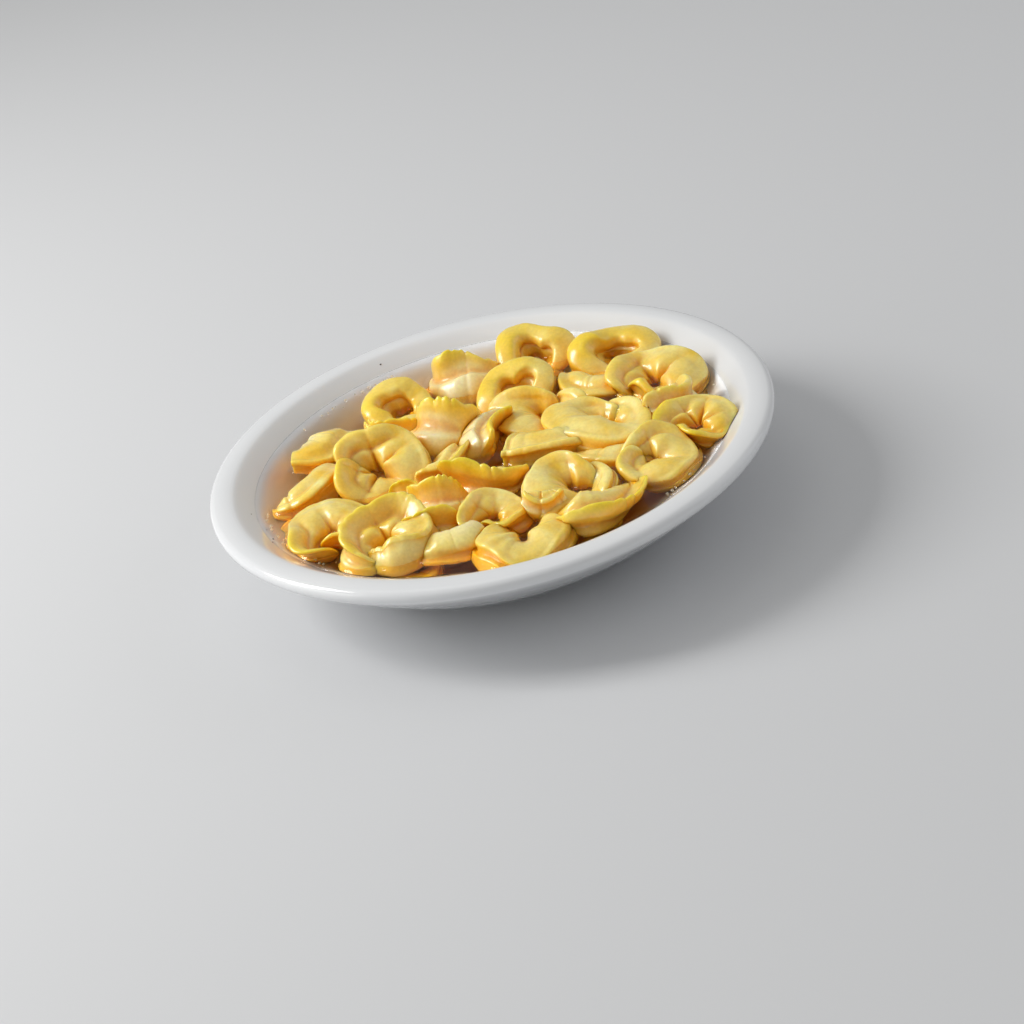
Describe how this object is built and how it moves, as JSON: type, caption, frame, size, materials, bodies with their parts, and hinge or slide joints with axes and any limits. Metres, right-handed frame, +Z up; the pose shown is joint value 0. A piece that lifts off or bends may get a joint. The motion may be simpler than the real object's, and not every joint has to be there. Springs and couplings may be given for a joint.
{
  "type": "tortellini in broth in a soup bowl",
  "caption": "Filled egg pasta rings lying in clear golden broth in a shallow white porcelain soup bowl, a served dish ready to eat.",
  "frame": {"origin": "on the table under the middle of the bowl's foot ring", "axes": "+Z up, out of the bowl; -Y toward the person at the table, +X to their right"},
  "size_m": [0.206, 0.206, 0.0503],
  "materials": {
    "porcelain": "white glazed porcelain, high gloss",
    "broth": "clear golden broth with a still, glossy surface",
    "pasta": "wet cooked egg pasta, soft gloss"
  },
  "bodies": {
    "root": {"bowl": "porcelain", "broth": "broth", "tortellino_01": "pasta", "tortellino_02": "pasta", "tortellino_03": "pasta", "tortellino_04": "pasta", "tortellino_05": "pasta", "tortellino_06": "pasta", "tortellino_07": "pasta", "tortellino_08": "pasta", "tortellino_09": "pasta", "tortellino_10": "pasta", "tortellino_11": "pasta", "tortellino_12": "pasta", "tortellino_13": "pasta", "tortellino_14": "pasta", "tortellino_15": "pasta", "tortellino_16": "pasta", "tortellino_17": "pasta", "tortellino_18": "pasta", "tortellino_19": "pasta", "tortellino_20": "pasta", "tortellino_21": "pasta", "tortellino_22": "pasta", "tortellino_23": "pasta", "tortellino_24": "pasta", "tortellino_25": "pasta", "tortellino_26": "pasta", "tortellino_27": "pasta", "tortellino_28": "pasta", "tortellino_29": "pasta", "tortellino_30": "pasta", "tortellino_31": "pasta", "tortellino_32": "pasta", "tortellino_33": "pasta"}
  },
  "joints": []
}
